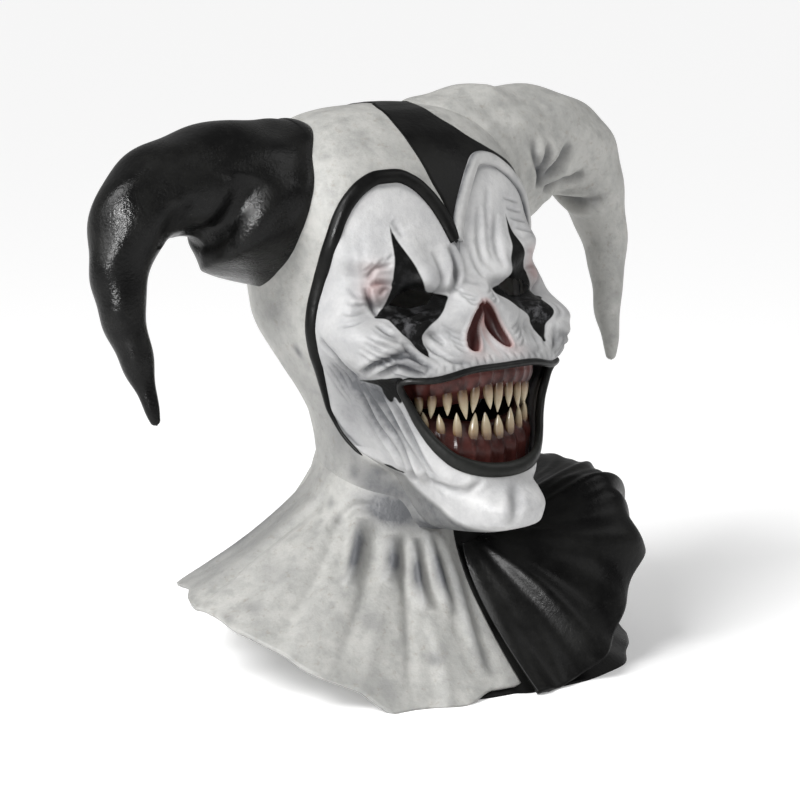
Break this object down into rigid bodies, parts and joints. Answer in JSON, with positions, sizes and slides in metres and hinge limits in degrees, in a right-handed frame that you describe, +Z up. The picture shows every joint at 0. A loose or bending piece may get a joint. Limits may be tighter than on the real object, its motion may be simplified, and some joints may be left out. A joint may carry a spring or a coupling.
{
  "type": "jester mask",
  "caption": "Pull-over jester mask: a hollow hood with curved horns, a grinning face with pointed teeth, and a pleated black and white collar that it stands on.",
  "frame": {"origin": "on the surface the collar stands on, under the middle of the mask's box", "axes": "+X towards the wearer's left (white horn), -Y the way the face looks, +Z up"},
  "size_m": [0.4708, 0.2876, 0.4027],
  "materials": {
    "latex_white": "painted, satin, stained grey",
    "latex_black": "painted, half gloss",
    "gum_red": "wet gloss",
    "ivory": "gloss, brown at the roots"
  },
  "bodies": {
    "root": {"hood": "latex_white", "face": "latex_white", "piping_white": "latex_white", "horn_white": "latex_white", "collar_white": "latex_white", "crown_wedge": "latex_black", "piping_black": "latex_black", "horn_black": "latex_black", "collar_black": "latex_black", "ruff_black": "latex_black", "lips": "latex_black", "gum_upper": "gum_red", "gum_lower": "gum_red", "tooth_upper_01": "ivory", "tooth_upper_02": "ivory", "tooth_upper_03": "ivory", "tooth_upper_04": "ivory", "tooth_upper_05": "ivory", "tooth_upper_06": "ivory", "tooth_upper_07": "ivory", "tooth_upper_08": "ivory", "tooth_upper_09": "ivory", "tooth_upper_10": "ivory", "tooth_upper_11": "ivory", "tooth_upper_12": "ivory", "tooth_upper_13": "ivory", "tooth_upper_14": "ivory", "tooth_lower_01": "ivory", "tooth_lower_02": "ivory", "tooth_lower_03": "ivory", "tooth_lower_04": "ivory", "tooth_lower_05": "ivory", "tooth_lower_06": "ivory", "tooth_lower_07": "ivory", "tooth_lower_08": "ivory", "tooth_lower_09": "ivory", "tooth_lower_10": "ivory", "tooth_lower_11": "ivory", "tooth_lower_12": "ivory"}
  },
  "joints": []
}
